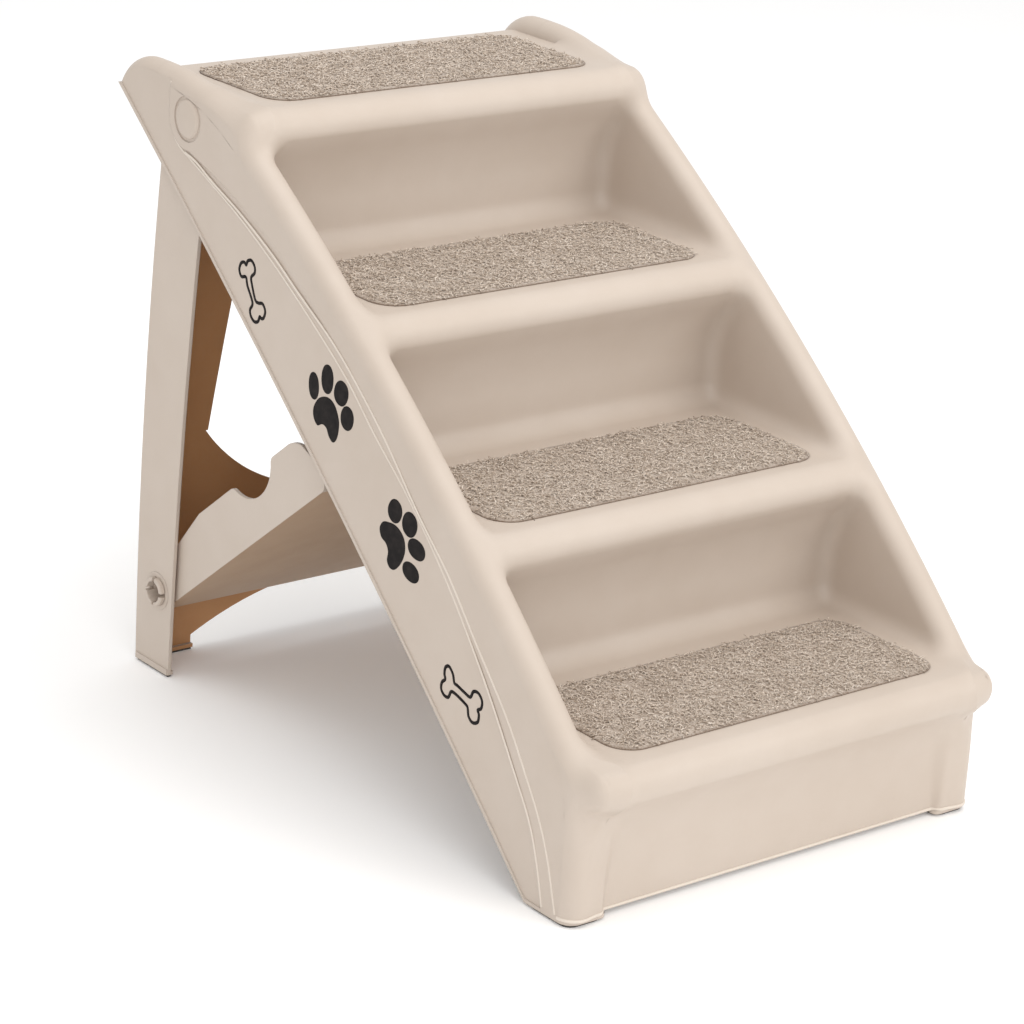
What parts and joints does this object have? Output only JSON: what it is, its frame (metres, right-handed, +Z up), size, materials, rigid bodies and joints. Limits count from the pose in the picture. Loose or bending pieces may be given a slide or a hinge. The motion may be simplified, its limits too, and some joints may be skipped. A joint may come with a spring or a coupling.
{
  "type": "pet stairs",
  "caption": "Folding plastic pet stairs with carpeted treads, round-rimmed cheeks, a hinged rear leg and a brace panel that locks the leg open.",
  "frame": {"origin": "on the floor under the middle of the stairs", "axes": "+Y from the front step to the rear, +Z up, +X across the stairs to the right side seen from the front"},
  "size_m": [0.4, 0.6204, 0.495],
  "materials": {
    "moulding": "moulded plastic with a fine satin texture",
    "carpet": "short loop-pile carpet",
    "rubber": "soft matte rubber"
  },
  "bodies": {
    "shell": {"stair_shell": "moulding", "tread_pad_1": "carpet", "tread_pad_2": "carpet", "tread_pad_3": "carpet", "tread_pad_4": "carpet", "pivot_cap_left": "moulding", "pivot_cap_right": "moulding", "front_foot_left": "rubber", "front_foot_right": "rubber"},
    "leg": {"rear_leg_frame": "moulding", "rear_foot_left": "rubber", "rear_foot_right": "rubber"},
    "brace": {"brace_panel": "moulding", "lower_pin_left": "moulding", "lower_pin_right": "moulding"}
  },
  "joints": [
    {"name": "leg_fold", "type": "hinge", "parent": "shell", "child": "leg", "pos_m": [0, 0.2124, 0.462], "axis": [-1, 0, 0], "range_deg": [0, 51.4]},
    {"name": "brace_swing", "type": "hinge", "parent": "leg", "child": "brace", "pos_m": [0, 0.24439, 0.0687], "axis": [1, 0, 0], "range_deg": [0, 133.7]}
  ],
  "couplings": [
    {"joint": "brace_swing", "follows": "leg_fold", "ratio": 2.6}
  ]
}
